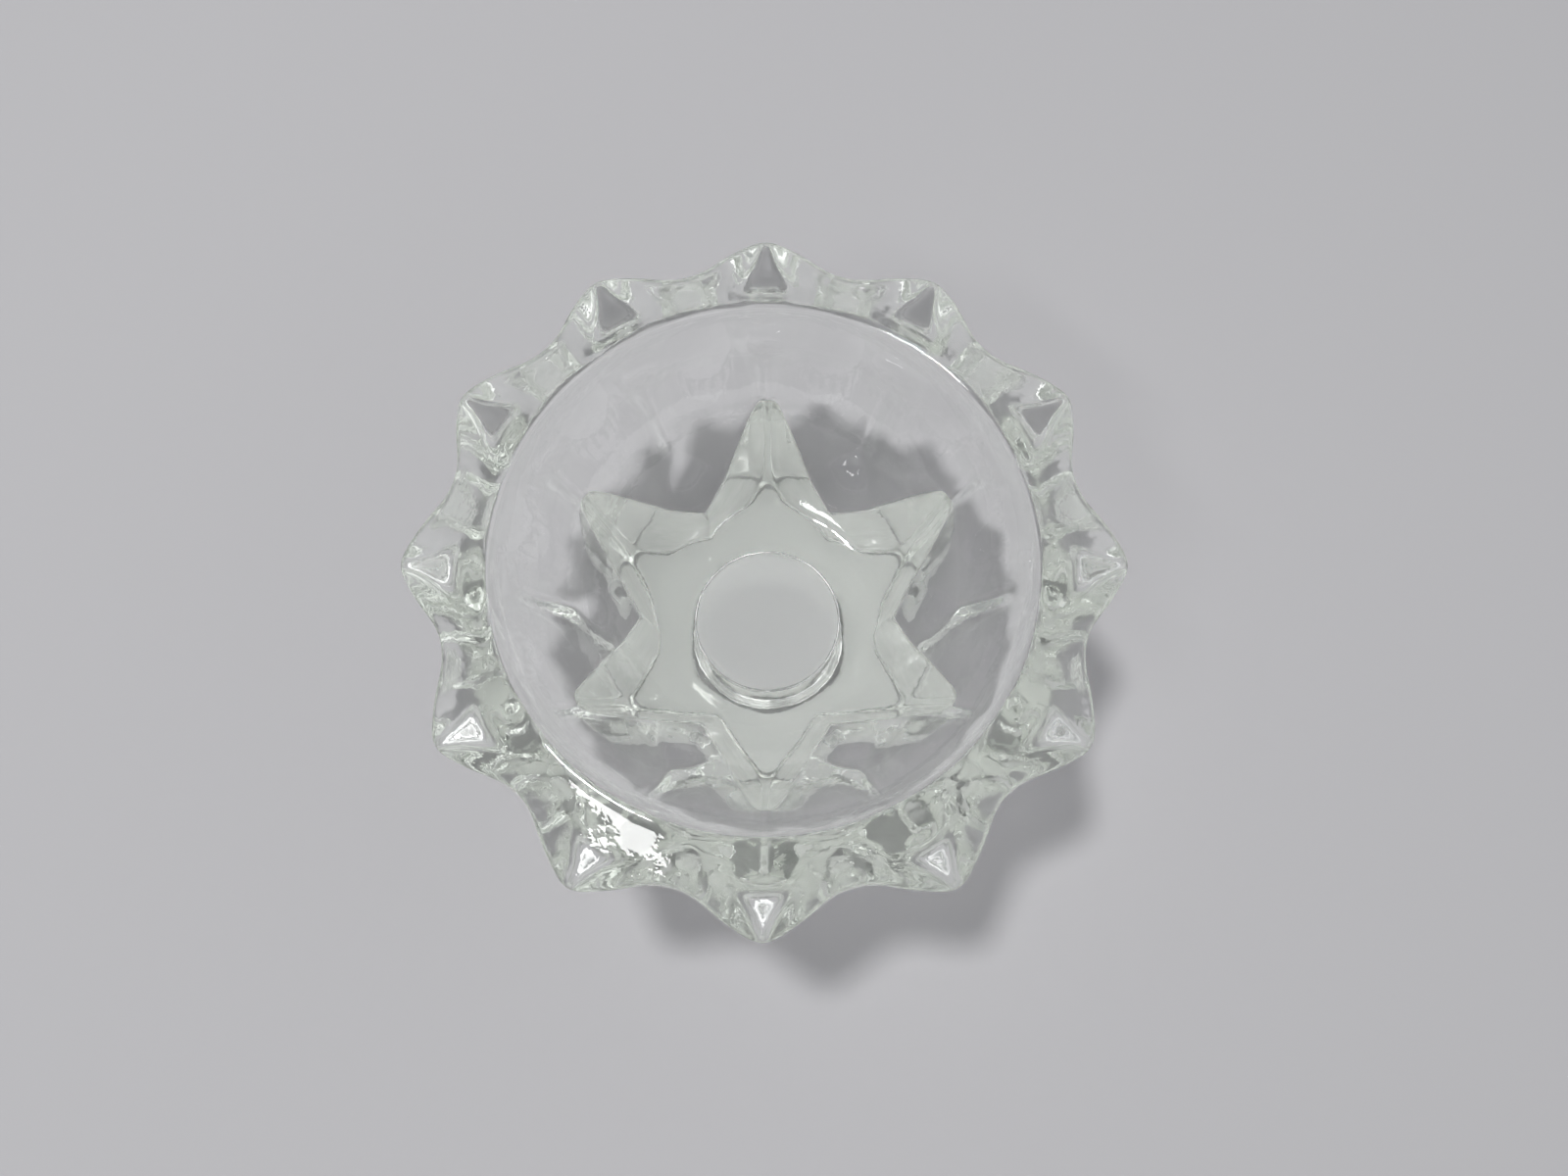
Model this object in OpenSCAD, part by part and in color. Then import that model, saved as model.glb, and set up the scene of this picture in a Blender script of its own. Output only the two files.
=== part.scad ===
// Reversible pressed-glass candle holder: a twelve-petalled tealight bowl on a
// six-pointed star foot, with a taper socket in the underside of the foot.
// Standing as modelled it takes a tealight; turned over it takes a taper.

/* [Overall] */
// Height from the face of the star foot to the lip of the bowl
height = 55; // [44:0.5:70]
// Radius over the tips of the petals
petal_tip_r = 48; // [44:0.5:58]
// Number of petals round the rim (one flute between each two)
petals = 12; // [8:1:16]

/* [Bowl] */
// Diameter of the mouth of the bowl
mouth_d = 71; // [56:0.5:76]
// Diameter of the flat floor that a tealight stands on
floor_d = 32.8; // [28:0.1:40]
// Depth from the lip to the floor
bowl_depth = 28; // [20:0.5:32]

/* [Rim] */
// How far the tips of the petals lie below the lip
petal_drop = 3.5; // [1:0.5:6]
// Straight edge left at the tip of each petal
petal_edge = 2; // [1:0.5:4]
// Width of the flat lip round the mouth
lip_w = 1.2; // [0.6:0.2:2.5]

/* [Petals] */
// Wall left between two petals, at the height of their tips
valley_wall = 7.5; // [5:0.1:10]
// Width of the end of each petal, left between two scallops
tip_w = 3.6; // [2:0.2:6]
// Lean of the scallops from upright
scallop_lean = 8; // [0:1:15]
// Slope of the underside of the petals
under_slope = 37; // [30:1:45]

/* [Outside of the bowl] */
// Radius of the neck where the outside of the bowl starts
neck_r = 15; // [12:0.5:18]
// How far the bowl's outside spreads beyond the neck
spread = 25.5; // [23:0.5:28]
// How far the bowl's outside rises while it spreads
rise = 30; // [26:0.5:34]
// Place of the flutes on the curve of the bowl (0 at the neck, 90 where it stands upright)
flute_at = 51; // [46:1:60]
// Radius of the flutes across
flute_r = 26; // [22:0.5:32]
// Depth pressed by a flute
flute_depth = 3.5; // [2.8:0.1:4]
// Place of the dimples on the curve of the bowl
dimple_at = 29; // [24:1:34]
// Radius of the dimples
dimple_r = 14; // [10:0.5:18]
// Depth pressed by a dimple
dimple_depth = 1.8; // [0.8:0.1:2.5]

/* [Star foot] */
// Radius over the rounded points of the star
star_r = 33.5; // [26:0.1:36]
// Number of points on the star
star_points = 6; // [5:1:8]
// Rounding at the end of each point
star_point_round = 2; // [0.8:0.1:3]
// Full angle at each point
star_point_angle = 60; // [45:1:70]

/* [Taper socket] */
// Diameter of the socket
socket_d = 22.6; // [19:0.1:26]
// Glass left between the end of the socket and the floor of the bowl
socket_roof = 8; // [5:0.5:14]
// Chamfer round the mouth of the socket
socket_chamfer = 0.8; // [0.3:0.1:1.2]

/* [Hidden] */

mouth_r = mouth_d / 2;
floor_r = floor_d / 2;
socket_r = socket_d / 2;
floor_z = height - bowl_depth;
socket_depth = floor_z - socket_roof;
tip_z = height - petal_drop;

valley_r = mouth_r + valley_wall;

// A scallop touches the valley and runs out at the corner of the petal's end, so its
// radius follows from where those two points are.
corner_angle = 180 / petals - (tip_w / 2 / petal_tip_r) * 180 / PI;
corner_x = petal_tip_r * cos(corner_angle);
corner_y = petal_tip_r * sin(corner_angle);
scallop_r = (pow(corner_x - valley_r, 2) + pow(corner_y, 2)) / (2 * (corner_x - valley_r));

// The outside of the bowl leaves the neck level, this far below the floor.
neck_drop = 6;
neck_z = floor_z - neck_drop;
side_z = tip_z - petal_edge;

// The hollow is half an ellipsoid cut flat at the floor.
bowl_reach = bowl_depth / sqrt(1 - pow(floor_r / mouth_r, 2));
floor_edge = asin(floor_r / mouth_r);

arc_steps = 8;
round_steps = 6;
// Turned surfaces start here, away from the ridges and the middles of the prints.
seam_turn = 8;
glass_colour = [0.78, 0.86, 0.82, 0.55];
eps = 0.01;

$fn = 96;

// A point of the bowl's outside, at a place on its quarter curve.
function outside_at(a) = [neck_r + spread * sin(a), neck_z + rise * (1 - cos(a))];

// How steeply the outward normal points down at that place.
function dip_at(a) = atan2(cos(a) / rise, sin(a) / spread);

// Height of the underside of the petals at radius r.
function under_z(r) = side_z - (petal_tip_r - r) * tan(under_slope);

// Place on the bowl's outside where it meets the underside of the petals.
function meeting(low = 0, high = 90, rounds = 12) =
    let (
        middle = (low + high) / 2,
        p = outside_at(middle)
    )
    rounds == 0
        ? middle
        : p[1] < under_z(p[0])
            ? meeting(middle, high, rounds - 1)
            : meeting(low, middle, rounds - 1);

// The bowl as it would be with no prints, turned about the upright axis.
module turned_blank() {
    root = meeting();
    rotate(seam_turn)
        rotate_extrude()
            polygon(concat(
                [[0, neck_z]],
                [for (i = [0:arc_steps]) outside_at(root * i / arc_steps)],
                [
                    [petal_tip_r, side_z],
                    [petal_tip_r, tip_z],
                    [mouth_r + lip_w, height],
                    [0, height]
                ]
            ));
}

// The round hollow of the bowl, with its flat floor.
module bowl_hollow() {
    rotate_extrude()
        polygon(concat(
            [[0, floor_z]],
            [
                for (i = [0:arc_steps])
                    let (a = floor_edge + (90 - floor_edge) * i / arc_steps)
                    [mouth_r * sin(a), height - bowl_reach * cos(a)]
            ],
            [
                [mouth_r, height + eps],
                [0, height + eps]
            ]
        ));
}

// The leaning round bar that parts two petals.
module scallop() {
    translate([valley_r, 0, tip_z])
        rotate([0, scallop_lean, 0])
            translate([scallop_r, 0, 0])
                rotate(seam_turn)
                    cylinder(r = scallop_r, h = 2 * petal_tip_r, center = true);
}

// The leaning round bar that presses one flute up the outside of the bowl.
module flute() {
    spot = outside_at(flute_at);
    translate([spot[0], 0, spot[1]])
        rotate([0, dip_at(flute_at), 0])
            translate([flute_r - flute_depth, 0, 0])
                rotate(seam_turn)
                    cylinder(r = flute_r, h = 2 * petal_tip_r, center = true);
}

// The ball that presses one dimple, between two points of the star.
module dimple() {
    spot = outside_at(dimple_at);
    translate([spot[0], 0, spot[1]])
        rotate([0, dip_at(dimple_at), 0])
            translate([dimple_r - dimple_depth, 0, 0])
                rotate([90, 0, seam_turn])
                    sphere(r = dimple_r);
}

// The outline of the star: each point ends in an arc that its two straight sides
// run into, and the sides of neighbouring points meet in an inner corner.
function star_outline() =
    let (
        half = star_point_angle / 2,
        sharp_r = star_r + star_point_round * (1 / sin(half) - 1),
        round_at = star_r - star_point_round,
        inner_a = 180 / star_points,
        inner_r = sharp_r * sin(half) / sin(half + inner_a)
    )
    [
        for (i = [0:star_points - 1])
            let (middle = 90 + 360 * i / star_points)
            for (j = [0:round_steps + 1])
                let (
                    swing = (90 - half) * (2 * j / round_steps - 1),
                    end = round_at * [cos(middle), sin(middle)]
                )
                j <= round_steps
                    ? end + star_point_round * [cos(middle + swing), sin(middle + swing)]
                    : inner_r * [cos(middle + inner_a), sin(middle + inner_a)]
    ];

// The star foot, standing up into the underside of the bowl.
module star_foot() {
    linear_extrude(height = floor_z)
        polygon(star_outline());
}

module taper_socket() {
    translate([0, 0, -eps])
        cylinder(r = socket_r, h = socket_depth + eps);
    translate([0, 0, -eps])
        cylinder(r1 = socket_r + socket_chamfer + eps, r2 = socket_r, h = socket_chamfer + eps);
}

// The whole holder is one pressing of clear glass.
module holder_glass() {
    color(glass_colour)
        difference() {
            union() {
                difference() {
                    turned_blank();
                    for (i = [0:petals - 1])
                        rotate(360 * (i + 0.5) / petals) {
                            scallop();
                            flute();
                        }
                    for (i = [0:star_points - 1])
                        rotate(90 + 360 * (i + 0.5) / star_points)
                            dimple();
                }
                star_foot();
            }
            bowl_hollow();
            taper_socket();
        }
}

holder_glass();
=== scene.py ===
# %% [markdown]
# # A pressed-glass tealight holder
#
# The real holder is one lump of clear soda-lime glass. A gob of molten glass is dropped into an iron mould,
# and a plunger squeezes it into a bowl with twelve petals, a ring of flutes and a star-shaped foot. The rim
# is then heated again, so every outer edge flows into a soft round: that is called fire polishing.
#
# The lesson builds it the same way. A blank is turned, the mould presses its shape into the blank, and a
# smoothing pass does the fire polishing. The frame is loaded first, because its box gives the height and
# the width.

# %% Load the frame
import math

import bpy
import numpy as np
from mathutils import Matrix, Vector


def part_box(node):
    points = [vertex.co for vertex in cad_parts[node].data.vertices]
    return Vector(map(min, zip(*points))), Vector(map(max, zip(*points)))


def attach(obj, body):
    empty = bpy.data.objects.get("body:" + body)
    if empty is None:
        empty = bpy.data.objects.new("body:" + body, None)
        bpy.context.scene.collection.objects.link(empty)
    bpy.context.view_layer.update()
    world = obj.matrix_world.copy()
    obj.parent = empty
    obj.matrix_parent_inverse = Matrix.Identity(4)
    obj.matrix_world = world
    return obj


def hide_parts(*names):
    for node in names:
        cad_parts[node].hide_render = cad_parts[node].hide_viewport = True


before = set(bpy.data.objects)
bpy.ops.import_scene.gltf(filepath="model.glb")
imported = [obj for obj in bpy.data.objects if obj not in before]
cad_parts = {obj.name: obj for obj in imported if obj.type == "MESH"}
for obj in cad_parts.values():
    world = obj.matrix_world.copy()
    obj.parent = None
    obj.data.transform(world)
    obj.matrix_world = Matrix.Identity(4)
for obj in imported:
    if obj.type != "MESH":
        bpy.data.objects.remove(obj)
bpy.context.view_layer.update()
_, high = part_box("holder_glass")
MM = 0.001
height = high[2] / MM
petal_tip_r = high[0] / MM
print(f"holder: {height:.1f} mm high, {2 * petal_tip_r:.1f} mm over the petals")

# %% [markdown]
# ## The driving sizes
#
# Lengths are millimetres until something is made from them, and a name that ends in _m is in metres. The
# bowl is sized for a tealight, and the round socket under the foot for a taper candle. The heights of the
# floor, the neck and the petals follow from those.

# %% Driving sizes
petals = 12
star_points = 6

mouth_r = 35.5
floor_r = 16.4
bowl_depth = 28.0
lip_w = 1.2
petal_drop = 3.5
petal_edge = 2.0

neck_r = 15.0
neck_drop = 6.0
star_r = 33.5
star_draft = 0.7

socket_r = 11.3
socket_roof = 8.0
socket_chamfer = 0.8

floor_z = height - bowl_depth
neck_z = floor_z - neck_drop
tip_z = height - petal_drop
side_z = tip_z - petal_edge
socket_end_z = floor_z - socket_roof
bowl_reach = bowl_depth / math.sqrt(1 - (floor_r / mouth_r) ** 2)
floor_edge = math.asin(floor_r / mouth_r)
print(f"floor {floor_z:.1f}, neck {neck_z:.1f}, petal tips {tip_z:.1f}, socket end {socket_end_z:.1f}")

# %% [markdown]
# ## Helpers
#
# Blender's operators act on whatever is selected, so each step starts from a clean selection. `only`
# selects one object, and `in_edit` runs a few edit-mode operators on all of it.


# %% Selection helpers
def only(obj):
    bpy.ops.object.select_all(action="DESELECT")
    obj.select_set(True)
    bpy.context.view_layer.objects.active = obj


def in_edit(obj, *steps):
    only(obj)
    bpy.ops.object.mode_set(mode="EDIT")
    bpy.ops.mesh.select_all(action="SELECT")
    for step in steps:
        step()
    bpy.ops.object.mode_set(mode="OBJECT")


print("helpers: only, in_edit")

# %% [markdown]
# ## The rows of the profile
#
# Half of the holder's cross-section is one line: out along the end of the socket, down its wall, across the
# foot, up the wall of the star, up the outside of the bowl, over the petal, and back down the inside to the
# middle of the floor. The line is cut into stretches, and each stretch gets as many rows as its curve
# needs. Rows crowd towards both ends of a stretch, because the edges that will be rounded are there.

# %% Stretches and their rows
STRETCHES = [
    ("socket_end", 14),
    ("socket_wall", 20),
    ("foot_face", 12),
    ("star_wall", 22),
    ("outside", 60),
    ("petal_top", 14),
    ("lip", 3),
    ("inside", 40),
    ("floor", 12),
]
row_count = sum(rows for _, rows in STRETCHES) + 1
print(f"{row_count} rows from the socket to the floor")


def crowd(count, share=0.55):
    """Places from 0 to 1, closer together at both ends by the given share."""
    t = np.linspace(0.0, 1.0, count + 1)
    return (1 - share) * t + share * (0.5 - 0.5 * np.cos(math.pi * t))


# %% [markdown]
# ## The blank
#
# The blank is the shape before the mould has closed: a plain turned bowl on a round stem. Its profile is
# drawn by extruding one point along the line, and then it is spun round the upright axis. The number of
# steps is a multiple of 24, so that a column of points runs along every petal, every flute and every point
# of the star.

# %% Blank profile
around = 480
stem_r = 24.0
# The blank's outside starts this far round its quarter curve, near the stem.
leaves_stem = 0.2


def quarter(t, r0, z0, w, h):
    a = t * math.pi / 2
    return np.stack([r0 + w * np.sin(a), z0 + h * (1 - np.cos(a))], axis=-1)


def bowl(t):
    """The hollow is half an ellipsoid with its bottom cut flat, so the floor has a faint edge."""
    a = floor_edge + t * (math.pi / 2 - floor_edge)
    return np.stack([mouth_r * np.sin(a), height - bowl_reach * np.cos(a)], axis=-1)


def straight(t, start, end):
    return np.array(start) + t[:, None] * (np.array(end) - np.array(start))


def blank_profile():
    foot_r = socket_r + socket_chamfer
    lines = {
        "socket_end": lambda t: straight(t, (0, socket_end_z), (socket_r, socket_end_z)),
        "socket_wall": lambda t: straight(t, (socket_r, socket_end_z), (socket_r, socket_chamfer)),
        "foot_face": lambda t: straight(t, (foot_r, 0), (stem_r, 0)),
        "star_wall": lambda t: straight(t, (stem_r, 0), (stem_r, neck_z)),
        "outside": lambda t: quarter(
            leaves_stem + (1 - leaves_stem) * t, neck_r, neck_z, petal_tip_r - neck_r, side_z - neck_z
        ),
        "petal_top": lambda t: straight(t, (petal_tip_r, tip_z), (mouth_r + lip_w, height)),
        "lip": lambda t: straight(t, (mouth_r + lip_w, height), (mouth_r, height)),
        "inside": lambda t: bowl(1 - t),
        "floor": lambda t: straight(t, (floor_r, floor_z), (0, floor_z)),
    }
    rows = [lines[name](crowd(count))[:-1] for name, count in STRETCHES]
    return np.concatenate(rows + [np.array([[0, floor_z]])])


profile = blank_profile()
print(f"profile of {len(profile)} points, {2 * profile[:, 0].max():.1f} mm wide")


# %% [markdown]
# Merging a plane to its centre leaves one point, and each extrusion adds the next one. Spinning the line by
# a full turn leaves doubled points where the turn closes and along the axis, so the points that coincide
# are welded.

# %% Spin the blank
weld = 0.01


def turned(name, points, steps):
    """A closed form turned from a profile. The attribute row says which point made each vertex."""
    bpy.ops.mesh.primitive_plane_add(size=1, location=(0, 0, 0))
    obj = bpy.context.active_object
    obj.name = obj.data.name = name
    bpy.ops.object.mode_set(mode="EDIT")
    bpy.ops.mesh.select_all(action="SELECT")
    bpy.ops.mesh.merge(type="CENTER")
    start = Vector((points[0][0], 0, points[0][1])) * MM
    bpy.ops.transform.translate(value=start)
    for (r0, z0), (r1, z1) in zip(points[:-1], points[1:]):
        step = Vector((r1 - r0, 0, z1 - z0)) * MM
        bpy.ops.mesh.extrude_region_move(TRANSFORM_OT_translate={"value": step})
    bpy.ops.object.mode_set(mode="OBJECT")
    row = obj.data.attributes.new("row", "INT", "POINT")
    row.data.foreach_set("value", np.arange(len(points), dtype=np.int32))
    in_edit(
        obj,
        lambda: bpy.ops.mesh.spin(steps=steps, angle=2 * math.pi, center=(0, 0, 0), axis=(0, 0, 1)),
        lambda: bpy.ops.mesh.select_all(action="SELECT"),
        lambda: bpy.ops.mesh.remove_doubles(threshold=weld * MM),
        lambda: bpy.ops.mesh.normals_make_consistent(inside=False),
    )
    return obj


glass = turned("holder_glass_fire_polished", profile, around)
print(f"blank: {len(glass.data.vertices)} vertices, {len(glass.data.polygons)} faces")

# %% [markdown]
# ## The mould
#
# Twelve flutes are pressed up the bowl, one under each gap between two petals, and six round dimples lie
# between the points of the star. Cutting them out with booleans would leave slivers along every ridge, and
# glass shows a sliver from both sides. So the mould is written as a distance instead: `outside_of_mould` is
# below zero inside the glass and above zero outside. Where two presses meet, `blend_max` rounds the ridge
# as molten glass would.

# %% Outside of the bowl and the petals
bowl_out_w = 25.5
bowl_out_h = 30.0
under_slope = math.radians(37)
edge_lean = math.radians(8)
# The petals' edge leans out below the tips, so the tips themselves stop this far inside the frame's box.
tip_room = 0.05
tip_reach = petal_tip_r - tip_room
valley_wall = 7.5
valley_r = mouth_r + valley_wall
# Above 1, this narrows the petals and widens the valleys.
petal_narrowing = 1.15
# The wavy edge runs at a slant to the radius, so a step along the radius is longer than the true distance.
edge_slant = 0.9
root_round = 2.0
ridge_round = 0.5
edge_round = 0.6

bowl_top_z = neck_z + bowl_out_h


def blend_max(a, b, width):
    h = np.clip(0.5 + 0.5 * (a - b) / width, 0, 1)
    return b + (a - b) * h + width * h * (1 - h)


def blend_min(a, b, width):
    return -blend_max(-a, -b, width)


def nearest_turn(angle, count, offset):
    """The angle to the nearest of a ring of presses."""
    step = 2 * math.pi / count
    return (angle - offset + step / 2) % step - step / 2


def turned_bowl(r, z):
    """Distance outside the bowl's own wall."""
    across = np.maximum(r - neck_r, 0) / bowl_out_w
    down = np.maximum(bowl_top_z - z, 0) / bowl_out_h
    return (np.hypot(across, down) - 1) * bowl_out_w


def petal_outline(angle):
    """Radius of the petals' edge: round at the tips and broad in the valleys."""
    wave = 0.5 + 0.5 * np.cos(petals * angle)
    return valley_r + (tip_reach - valley_r) * wave**petal_narrowing


def petal_ring(r, angle, z):
    """Distance outside the ring of petals: a thick brim with a wavy edge that leans in towards the lip."""
    under = (r - petal_tip_r) * math.sin(under_slope) - (z - side_z) * math.cos(under_slope)
    edge = (r + (z - tip_z) * math.tan(edge_lean) - petal_outline(angle)) * edge_slant
    return blend_max(under, edge, edge_round)


print(f"petals from {valley_r:.1f} mm in the valleys to {tip_reach:.2f} mm at the tips")


# %% [markdown]
# A flute is the print of a round bar that leans along the bowl's curve, and a dimple is the print of a
# ball. Each press is set by the place where it touches the curve, its radius and how deep it goes.

# %% Flutes and dimples
def press_place(a):
    """Where a press sits on the bowl's quarter curve, and which way it faces."""
    a = math.radians(a)
    spot = np.array([neck_r + bowl_out_w * math.sin(a), neck_z + bowl_out_h * (1 - math.cos(a))])
    way = np.array([math.sin(a) / bowl_out_w, -math.cos(a) / bowl_out_h])
    return spot, way / np.linalg.norm(way)


def flute(r, turn, z, a, flute_r, depth):
    """Distance outside the leaning round bar that presses one flute."""
    spot, way = press_place(a)
    axis = spot + way * (flute_r - depth)
    out = (r * np.cos(turn) - axis[0]) * way[0] + (z - axis[1]) * way[1]
    return np.hypot(out, r * np.sin(turn)) - flute_r


def dimple(r, turn, z, a, ball_r, depth):
    """Distance outside the ball that presses one dimple."""
    spot, way = press_place(a)
    ball = spot + way * (ball_r - depth)
    x = r * np.cos(turn) - ball[0]
    return np.sqrt(x * x + (r * np.sin(turn)) ** 2 + (z - ball[1]) ** 2) - ball_r


flute_at, flute_r, flute_depth = 51, 26.0, 3.5
dimple_at, dimple_r, dimple_depth = 29, 14.0, 1.8


def outside_of_mould(r, angle, z):
    body = blend_min(turned_bowl(r, z), petal_ring(r, angle, z), root_round)
    half = math.pi / petals
    turn = nearest_turn(angle, petals, half)
    other = turn - np.where(turn < 0, -1, 1) * 2 * half
    pressed = blend_max(
        -flute(r, turn, z, flute_at, flute_r, flute_depth),
        -flute(r, other, z, flute_at, flute_r, flute_depth),
        ridge_round,
    )
    dimpled = -dimple(r, nearest_turn(angle, star_points, 0), z, dimple_at, dimple_r, dimple_depth)
    return blend_max(body, blend_max(pressed, dimpled, edge_round), edge_round)


print(f"{petals} flutes {flute_depth} mm deep, {star_points} dimples {dimple_depth} mm deep")

# %% [markdown]
# ## The star
#
# Each point of the star has two straight sides and a rounded end. Seen from the axis, the distance to a
# straight side grows as one over the cosine, so the outline is a formula in the angle. The walls draw in a
# little towards the bottom, as they must for the glass to leave the mould.

# %% Star outline
star_point_round = 2.0
star_point_half = math.radians(30)


def star_outline(angle):
    """Radius of the star at an angle, with rounded points and sharp inner corners."""
    turn = np.abs(nearest_turn(angle, star_points, math.pi / 2))
    sharp_r = star_r + star_point_round * (1 / math.sin(star_point_half) - 1)
    side = sharp_r * math.sin(star_point_half) / np.sin(star_point_half + turn)
    centre_r = star_r - star_point_round
    sideways = centre_r * np.sin(turn)
    reach = np.sqrt(np.maximum(star_point_round**2 - sideways**2, 0))
    end = centre_r * np.cos(turn) + reach
    touch = math.atan2(
        star_point_round * math.cos(star_point_half),
        centre_r + star_point_round * math.sin(star_point_half),
    )
    return np.where(turn < touch, end, side)


angles = np.linspace(0, 2 * math.pi, around, endpoint=False)
star_edge = star_outline(angles)
print(f"star: {star_edge.max():.1f} mm at the points, {star_edge.min():.1f} mm at the corners")


# %% [markdown]
# ## Press the blank
#
# For each column of the blank, the mould says where the outside is. `halving` finds the place where the
# mould's distance crosses zero by splitting the gap in two again and again, which is quick and can't miss.
# Every vertex then moves within its own upright plane to its place on the pressed shape.


# %% Press
# Each search looks between two places that lie on either side of the skin.
ray_search = 2.0, 50.0
joint_search = 8.0, 44.0
rim_search = 38.0, 52.0
ray_count = 200


def halving(distance, inner, outer, rounds=40):
    inner, outer = np.array(inner, float), np.array(outer, float)
    for _ in range(rounds):
        middle = (inner + outer) / 2
        inside = distance(middle) < 0
        inner = np.where(inside, middle, inner)
        outer = np.where(inside, outer, middle)
    return (inner + outer) / 2


def top_slope(r):
    return height - (r - mouth_r - lip_w) * petal_drop / (petal_tip_r - mouth_r - lip_w)


def outside_line(angle, joint_z, wall_top, rim_r, rim_z, u):
    """The outside of the bowl in each column, from the star's wall to the rim, spaced along the glass."""
    a0 = np.arctan2(joint_z - side_z, wall_top - neck_r)[:, None]
    a1 = np.arctan2(rim_z - side_z, rim_r - neck_r)[:, None]
    a = a0 + (a1 - a0) * np.linspace(0, 1, ray_count)
    ray = halving(
        lambda d: outside_of_mould(neck_r + d * np.cos(a), angle[:, None], side_z + d * np.sin(a)),
        np.full(a.shape, ray_search[0]),
        np.full(a.shape, ray_search[1]),
    )
    r, z = neck_r + ray * np.cos(a), side_z + ray * np.sin(a)
    steps = np.hypot(np.diff(r, axis=1, prepend=r[:, :1]), np.diff(z, axis=1, prepend=z[:, :1]))
    along = np.cumsum(steps, axis=1)
    places = along[:, -1:] * u
    r_even = np.stack([np.interp(p, s, line) for p, s, line in zip(places, along, r)])
    z_even = np.stack([np.interp(p, s, line) for p, s, line in zip(places, along, z)])
    return r_even, z_even


def pressed_rows(angle):
    """Radius and height of every row, for an array of angles: the shape that the mould gives."""
    n = len(angle)
    wall_top = star_outline(angle)
    wall_foot = wall_top - star_draft
    below, above = (np.full(n, z) for z in joint_search)
    joint_z = halving(lambda z: -outside_of_mould(wall_top, angle, z), below, above)
    inner, outer = (np.full(n, r) for r in rim_search)
    rim_r = halving(lambda r: outside_of_mould(r, angle, top_slope(r)), inner, outer)
    rim_z = top_slope(rim_r)

    parts = []
    for name, count in STRETCHES:
        t = crowd(count)[:-1]
        u = np.broadcast_to(t, (n, count))
        if name == "socket_end":
            r, z = socket_r * u, np.full_like(u, socket_end_z)
        elif name == "socket_wall":
            r, z = np.full_like(u, socket_r), socket_end_z + (socket_chamfer - socket_end_z) * u
        elif name == "foot_face":
            foot_r = socket_r + socket_chamfer
            r, z = foot_r + (wall_foot[:, None] - foot_r) * u, np.zeros_like(u)
        elif name == "star_wall":
            r, z = wall_foot[:, None] + (wall_top - wall_foot)[:, None] * u, joint_z[:, None] * u
        elif name == "outside":
            r, z = outside_line(angle, joint_z, wall_top, rim_r, rim_z, u)
        elif name == "petal_top":
            r = rim_r[:, None] + (mouth_r + lip_w - rim_r[:, None]) * u
            z = top_slope(r)
        elif name == "lip":
            r, z = mouth_r + lip_w * (1 - u), np.full_like(u, height)
        elif name == "inside":
            line = bowl(1 - u)
            r, z = line[..., 0], line[..., 1]
        else:
            r, z = floor_r * (1 - u), np.full_like(u, floor_z)
        parts.append(np.stack([r, z], axis=-1))
    parts.append(np.broadcast_to(np.array([0.0, floor_z]), (n, 1, 2)))
    return np.concatenate(parts, axis=1)


def press(obj):
    mesh = obj.data
    count = len(mesh.vertices)
    place = np.empty(count * 3)
    mesh.vertices.foreach_get("co", place)
    place = place.reshape(-1, 3)
    row = np.empty(count, dtype=np.int32)
    mesh.attributes["row"].data.foreach_get("value", row)
    turn = np.arctan2(place[:, 1], place[:, 0]) % (2 * math.pi)
    column = np.round(turn / (2 * math.pi) * around).astype(int) % around
    grid = pressed_rows(angles)
    r, z = grid[column, row, 0], grid[column, row, 1]
    place = np.stack([r * np.cos(angles[column]), r * np.sin(angles[column]), z], axis=-1) * MM
    mesh.vertices.foreach_set("co", place.reshape(-1))
    mesh.update()


press(glass)
tips = pressed_rows(angles)[:, :, 0].max(axis=1)
print(f"petals: {tips.max():.1f} mm at the tips, {tips.min():.1f} mm in the valleys")

# %% [markdown]
# ## Fire polishing
#
# Each pass of Smooth Vertices moves a point halfway to the middle of its neighbours. Flat and evenly curved
# places hardly change, and sharp edges flow round, which is just what the flame does to a glass rim.

# %% Fire polish
flow, flame_passes = 0.5, 4
in_edit(
    glass,
    lambda: bpy.ops.mesh.vertices_smooth(factor=flow, repeat=flame_passes),
    lambda: bpy.ops.mesh.normals_make_consistent(inside=False),
)
only(glass)
bpy.ops.object.shade_smooth()
glass.data.attributes.remove(glass.data.attributes["row"])
size = glass.dimensions / MM
print(f"polished: {size.x:.2f} x {size.y:.2f} x {size.z:.2f} mm")

# %% [markdown]
# ## Materials
#
# Colours are written as the sRGB hex values that a paint chart gives, and turned to linear light once,
# here. `node` adds one shader node with its settings and its links.


# %% Material helpers
def linear(hexa):
    """Linear colour from an sRGB hex value."""
    parts = [int(hexa[i : i + 2], 16) / 255 for i in (1, 3, 5)]
    return [c / 12.92 if c <= 0.04045 else ((c + 0.055) / 1.055) ** 2.4 for c in parts] + [1.0]


def node(tree, kind, inputs=None, **settings):
    """Adds a node. An input's value is either a socket to link from or a plain value."""
    made = tree.nodes.new(kind)
    for name, value in settings.items():
        setattr(made, name, value)
    for name, value in (inputs or {}).items():
        if isinstance(value, bpy.types.NodeSocket):
            tree.links.new(value, made.inputs[name])
        else:
            made.inputs[name].default_value = value
    return made


def new_material(name):
    made = bpy.data.materials.new(name)
    made.use_nodes = True
    made.node_tree.nodes.clear()
    return made


print("helpers: linear, node, new_material")

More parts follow.
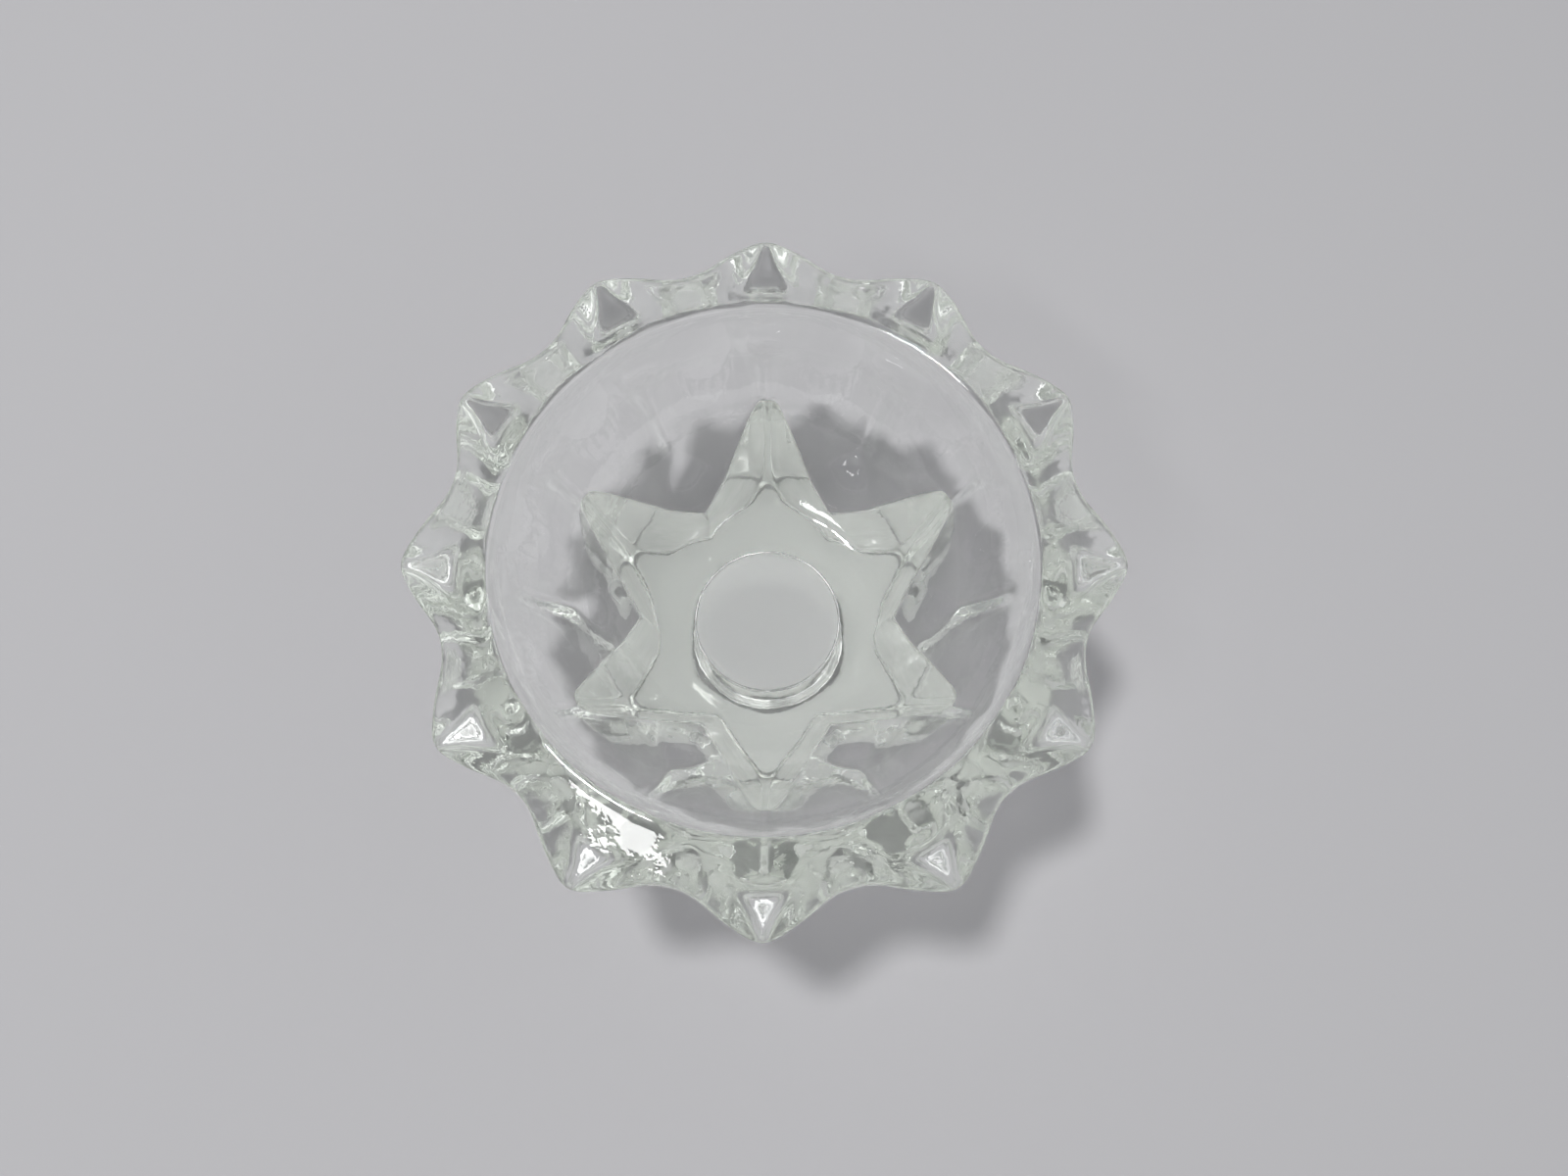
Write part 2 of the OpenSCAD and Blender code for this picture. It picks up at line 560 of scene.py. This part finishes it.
# %% [markdown]
# ### Pressed soda-lime glass
#
# Soda-lime glass bends light with an index of about 1.52 and is clear, with a trace of iron that tints
# thick places green. The mould leaves its skin behind: a slow ripple a few millimetres long and a fine
# orange peel. Both are far too shallow to shape, so they are bumps in the shader.
#
# Two faces aren't left clear. The foot is painted white, which is painted light: it stands in for the light
# that gathers in the glass and falls on the floor under it. The end of the socket is painted part white, so
# that only a quarter of the light goes straight through; that is partly painted light and partly a guess
# that the plunger left the end rough. Seen down through the bowl, a clear star looks much darker than the
# floor, and these two make it paler. Both are picked out by their height and their distance from the axis.


# %% Numbers of the glass
glass_ior = 1.52
glass_roughness = 0.015
ripple_long, ripple_high = 7.0, 0.25
peel_long, peel_high = 1.6, 0.06
# Below the first height the foot is painted white, as painted light, and above the second the wall is clear.
white_below, clear_above = 0.05, 0.25
# The socket's part-white end, partly painted light, stops this far short of its wall and this far above its
# end.
pale_end_margin, pale_end_above = 0.4, 1.0
# The share of the socket's end left clear; the rest is painted white, partly as painted light.
pale_end_clearness = 0.25
# Volume absorption is counted per metre of glass.
iron_tint, iron_per_m = "#E4F2D9", 5.0
print(f"glass of index {glass_ior}, ripple {ripple_long:.0f} mm and peel {peel_long} mm long")


# %% The mould's skin
def skin_noise(tree, place, long, detail, roughness):
    """Noise fixed to the object, with hills about as long as the given length."""
    settings = {"Vector": place, "Scale": 1 / (long * MM), "Detail": detail, "Roughness": roughness}
    return node(tree, "ShaderNodeTexNoise", settings).outputs["Fac"]


def mould_skin(tree, place):
    """The normal of glass that has taken the mould's ripple and its orange peel."""
    ripple = skin_noise(tree, place, ripple_long, detail=1.0, roughness=0.4)
    slow = node(tree, "ShaderNodeBump", {"Height": ripple, "Strength": 0.5, "Distance": ripple_high * MM})
    settings = {
        "Height": skin_noise(tree, place, peel_long, detail=2.0, roughness=0.5),
        "Normal": slow.outputs["Normal"],
        "Strength": 0.4,
        "Distance": peel_high * MM,
    }
    return node(tree, "ShaderNodeBump", settings).outputs["Normal"]


# %% Clear places and places painted white
def clearness(tree, place):
    """1 on clear glass, 0 on the foot painted white, between on the socket's end: painted light."""
    up = node(tree, "ShaderNodeSeparateXYZ", {"Vector": place}).outputs["Z"]
    # The foot is picked out by its height and painted white: painted light.
    foot_clear = node(
        tree,
        "ShaderNodeMapRange",
        {
            "Value": up,
            "From Min": white_below * MM,
            "From Max": clear_above * MM,
            "To Min": 0.0,
            "To Max": 1.0,
        },
    )
    # The socket's end is picked out by its distance from the axis and its height, and painted part white:
    # partly painted light.
    level = node(tree, "ShaderNodeVectorMath", {0: place, 1: (1, 1, 0)}, operation="MULTIPLY")
    radius = node(tree, "ShaderNodeVectorMath", {"Vector": level.outputs["Vector"]}, operation="LENGTH")
    near_axis = node(
        tree,
        "ShaderNodeMath",
        {0: radius.outputs["Value"], 1: (socket_r - pale_end_margin) * MM},
        operation="LESS_THAN",
    )
    below_floor = node(
        tree,
        "ShaderNodeMath",
        {0: up, 1: (socket_end_z + pale_end_above) * MM},
        operation="LESS_THAN",
    )
    pale_painted_end = node(
        tree,
        "ShaderNodeMath",
        {0: near_axis.outputs[0], 1: below_floor.outputs[0]},
        operation="MULTIPLY",
    )
    end_clear = node(
        tree,
        "ShaderNodeMapRange",
        {"Value": pale_painted_end.outputs[0], "To Min": 1.0, "To Max": pale_end_clearness},
    )
    both = {0: foot_clear.outputs[0], 1: end_clear.outputs[0]}
    return node(tree, "ShaderNodeMath", both, operation="MULTIPLY").outputs[0]


# %% Pressed glass
def pressed_soda_lime_glass():
    made = new_material("pressed_soda_lime_glass")
    tree = made.node_tree
    place = node(tree, "ShaderNodeTexCoord").outputs["Object"]
    glassy = node(
        tree,
        "ShaderNodeBsdfPrincipled",
        {
            # White shows only where the glass isn't clear: painted light on the foot and the socket's end.
            "Base Color": linear("#FFFFFF"),
            "Roughness": glass_roughness,
            "IOR": glass_ior,
            "Transmission Weight": clearness(tree, place),
            "Normal": mould_skin(tree, place),
        },
    )
    depth = node(tree, "ShaderNodeVolumeAbsorption", {"Color": linear(iron_tint), "Density": iron_per_m})
    node(
        tree,
        "ShaderNodeOutputMaterial",
        {"Surface": glassy.outputs["BSDF"], "Volume": depth.outputs["Volume"]},
    )
    return made


clear_glass = pressed_soda_lime_glass()
glass.data.materials.clear()
glass.data.materials.append(clear_glass)
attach(glass, "root")
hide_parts("holder_glass")
print("glass rides on the root body")

# %% [markdown]
# ## Floor, light and camera
#
# The holder stands on a plain pale floor. Glass shows only what stands round it, so the sky matters as much
# as the lamps. It is brightest near the horizon, because the steep faces of the petals turn the eye that
# way, and their edges then shine instead of going black.


# %% Floor
def pale_floor():
    made = new_material("pale_matt_paint")
    tree = made.node_tree
    paint = node(tree, "ShaderNodeBsdfPrincipled", {"Base Color": linear("#B0AFB1"), "Roughness": 0.85})
    node(tree, "ShaderNodeOutputMaterial", {"Surface": paint.outputs["BSDF"]})
    return made


floor_size_m = 2.0
# The floor lies a hair below the foot, so that the two faces never share a plane.
floor_gap = 0.05
bpy.ops.mesh.primitive_plane_add(size=floor_size_m, location=(0, 0, -floor_gap * MM))
floor = bpy.context.active_object
floor.name = "floor"
floor.data.materials.append(pale_floor())
print(f"floor: {floor_size_m:.0f} m across")


# %% [markdown]
# The sky is a gradient by direction, so what the petals pick up from it changes softly from one side to the
# other.

# %% Soft sky
sky_darkest = Vector((-0.28, 0.10, 0.95)).normalized()
sky_strength = 1.65


def soft_sky(stops):
    """A sky whose colour depends on the angle from its darkest place. Each stop is a cosine and a colour."""
    world = bpy.data.worlds.new("soft_sky")
    bpy.context.scene.world = world
    world.use_nodes = True
    tree = world.node_tree
    tree.nodes.clear()
    place = node(tree, "ShaderNodeTexCoord")
    facing = node(tree, "ShaderNodeVectorMath", operation="DOT_PRODUCT")
    tree.links.new(place.outputs["Generated"], facing.inputs[0])
    facing.inputs[1].default_value = sky_darkest
    ramp = node(tree, "ShaderNodeValToRGB", {"Fac": facing.outputs["Value"]})
    while len(ramp.color_ramp.elements) < len(stops):
        ramp.color_ramp.elements.new(0.5)
    for element, (cosine, colour) in zip(ramp.color_ramp.elements, stops):
        element.position = cosine
        element.color = linear(colour)
    back = node(tree, "ShaderNodeBackground", {"Color": ramp.outputs["Color"], "Strength": sky_strength})
    node(tree, "ShaderNodeOutputWorld", {"Surface": back.outputs["Background"]})


soft_sky([(0.0, "#F4F5F6"), (0.22, "#D4D5D6"), (0.5, "#808183"), (1.0, "#7A7B7D")])
print("sky: bright round the horizon, darker overhead")


# %% [markdown]
# Two small lamps stand above and to the left and point at the middle of the mouth. They give the highlight
# on the near rim and the soft shadow to the right.

# %% Lamps
def lamp(name, place_mm, wide_mm, tall_mm, watts):
    data = bpy.data.lights.new(name, "AREA")
    data.shape = "ELLIPSE"
    data.size = wide_mm * MM
    data.size_y = tall_mm * MM
    data.energy = watts
    made = bpy.data.objects.new(name, data)
    bpy.context.scene.collection.objects.link(made)
    made.location = Vector(place_mm) * MM
    aim = Vector((0, 0, height)) * MM - made.location
    made.rotation_euler = aim.to_track_quat("-Z", "Y").to_euler()
    return made


lamp("ceiling_lamp", (-150, 70, 880), 100, 100, 4.4)
lamp("window_light", (-350, -380, 800), 330, 70, 0.9)
print("two lamps aimed at the middle of the mouth")

# %% [markdown]
# The camera looks down into the bowl from just in front of it, sixteen degrees from straight down, with the
# short lens of a pocket camera held about fifteen centimetres above the rim.

# %% Camera
lens_mm, sensor_mm = 28.0, 36.0
near_clip_m = 0.005
tilt = math.radians(16)
camera_mm = Vector((2.6, -47.3, 204.8))
data = bpy.data.cameras.new("camera")
data.lens = lens_mm
data.sensor_width = sensor_mm
data.clip_start = near_clip_m
camera = bpy.data.objects.new("camera", data)
bpy.context.scene.collection.objects.link(camera)
camera.location = camera_mm * MM
camera.rotation_euler = (tilt, 0, 0)
bpy.context.scene.camera = camera
bpy.context.scene.view_settings.view_transform = "Standard"
print(f"camera {camera_mm.z - height:.0f} mm above the rim, tilted {math.degrees(tilt):.0f} degrees")

# %% [markdown]
# Light that enters the petals is turned round and round inside the glass before it comes out. Each turn
# counts as a bounce, and the usual limit would end most of those paths early and leave the rim black, so
# the limits are raised.

# %% Bounces
paths = bpy.context.scene.cycles
paths.max_bounces = 24
paths.glossy_bounces = 12
paths.transmission_bounces = 16
print(f"a path may bounce {paths.max_bounces} times")

# %% Finish
bpy.context.view_layer.update()
